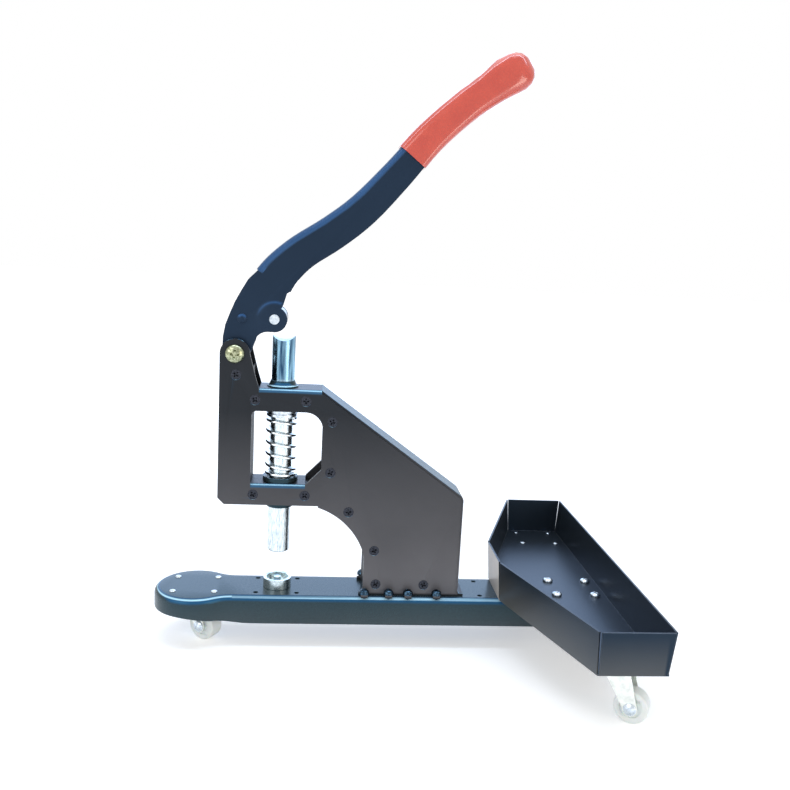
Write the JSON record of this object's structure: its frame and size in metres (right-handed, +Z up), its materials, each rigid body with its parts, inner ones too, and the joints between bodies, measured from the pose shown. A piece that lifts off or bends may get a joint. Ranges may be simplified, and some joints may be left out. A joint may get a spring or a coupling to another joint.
{
  "type": "eyelet press",
  "caption": "Hand-lever eyelet press: folded base on swivel casters, plate body with a spring-returned ram, curved lever with a red grip, and a six-sided tray behind.",
  "frame": {"origin": "on the floor, under the middle of the whole machine's box", "axes": "+X runs back from the round nose to the tray, +Y to the far side, +Z up from the floor"},
  "size_m": [0.4128, 0.3296, 0.5167],
  "materials": {
    "satin_black_paint": "satin black powder coat",
    "lever_paint": "satin blue-black paint",
    "tray_paint": "semi-gloss black paint",
    "black_screws": "black zinc",
    "yellow_zinc": "yellow passivated zinc",
    "bright_steel": "ground and zinc-plated steel",
    "die_steel": "turned steel",
    "bright_zinc": "bright zinc",
    "grip_red": "glossy dipped vinyl",
    "caster_zinc": "bright zinc",
    "white_nylon": "moulded nylon"
  },
  "bodies": {
    "frame": {"base_shell": "satin_black_paint", "side_plate_near": "satin_black_paint", "side_plate_far": "satin_black_paint", "column_block": "satin_black_paint", "upper_guide_block": "satin_black_paint", "lower_guide_block": "satin_black_paint", "window_rib": "satin_black_paint", "throat_rib": "satin_black_paint", "foot_block": "satin_black_paint", "rear_cover": "satin_black_paint", "throat_liner": "satin_black_paint", "upper_bush": "satin_black_paint", "lower_bush": "satin_black_paint", "plate_screws": "black_screws", "foot_screws": "black_screws", "pivot_bolt": "yellow_zinc", "pivot_nut": "yellow_zinc", "pivot_sleeve": "bright_steel", "lower_die": "die_steel", "die_nut": "die_steel", "return_spring": "bright_steel", "tray_pan": "tray_paint", "tray_bolts": "bright_zinc", "tray_nuts": "bright_zinc", "nose_rivets": "bright_zinc", "near_caster_rivets": "bright_zinc", "far_caster_rivets": "bright_zinc", "nose_caster_plate": "caster_zinc", "near_caster_plate": "caster_zinc", "far_caster_plate": "caster_zinc"},
    "lever": {"lever_channel": "lever_paint", "roller_pin": "bright_steel", "lever_rivet": "lever_paint", "grip": "grip_red"},
    "roller": {"roller": "bright_steel"},
    "ram": {"ram": "bright_steel", "ram_collar": "bright_steel"},
    "nose_fork": {"nose_caster_fork": "caster_zinc", "nose_caster_axle": "caster_zinc"},
    "nose_wheel": {"nose_caster_wheel": "white_nylon"},
    "near_fork": {"near_caster_fork": "caster_zinc", "near_caster_axle": "caster_zinc"},
    "near_wheel": {"near_caster_wheel": "white_nylon"},
    "far_fork": {"far_caster_fork": "caster_zinc", "far_caster_axle": "caster_zinc"},
    "far_wheel": {"far_caster_wheel": "white_nylon"}
  },
  "joints": [
    {"name": "lever_pivot", "type": "hinge", "parent": "frame", "child": "lever", "pos_m": [-0.13826, 0, 0.2593], "axis": [0, 1, 0], "range_deg": [0, 42]},
    {"name": "roller_spin", "type": "hinge", "parent": "lever", "child": "roller", "pos_m": [-0.1064, 0, 0.28891], "axis": [0, 1, 0], "continuous": true},
    {"name": "ram_slide", "type": "slide", "parent": "frame", "child": "ram", "axis": [0, 0, -1], "range_m": [0, 0.0235], "stiffness_N_per_m": 1500, "springref_m": -0.025, "deforming": ["return_spring"]},
    {"name": "nose_swivel", "type": "hinge", "parent": "frame", "child": "nose_fork", "pos_m": [-0.17036, 0, 0.0135], "axis": [0, 0, 1], "continuous": true},
    {"name": "nose_wheel_spin", "type": "hinge", "parent": "nose_fork", "child": "nose_wheel", "pos_m": [-0.16053, -0.00688, 0.0135], "axis": [0.5736, 0.8192, 0], "continuous": true},
    {"name": "near_swivel", "type": "hinge", "parent": "frame", "child": "near_fork", "pos_m": [0.17424, -0.1373, 0.0135], "axis": [0, 0, 1], "continuous": true},
    {"name": "near_wheel_spin", "type": "hinge", "parent": "near_fork", "child": "near_wheel", "pos_m": [0.18463, -0.1433, 0.0135], "axis": [0.5, 0.866, 0], "continuous": true},
    {"name": "far_swivel", "type": "hinge", "parent": "frame", "child": "far_fork", "pos_m": [0.17424, 0.1373, 0.0135], "axis": [0, 0, 1], "continuous": true},
    {"name": "far_wheel_spin", "type": "hinge", "parent": "far_fork", "child": "far_wheel", "pos_m": [0.18463, 0.1433, 0.0135], "axis": [-0.5, 0.866, 0], "continuous": true}
  ],
  "couplings": [
    {"joint": "ram_slide", "follows": "lever_pivot", "m_per_rad": 0.032}
  ]
}
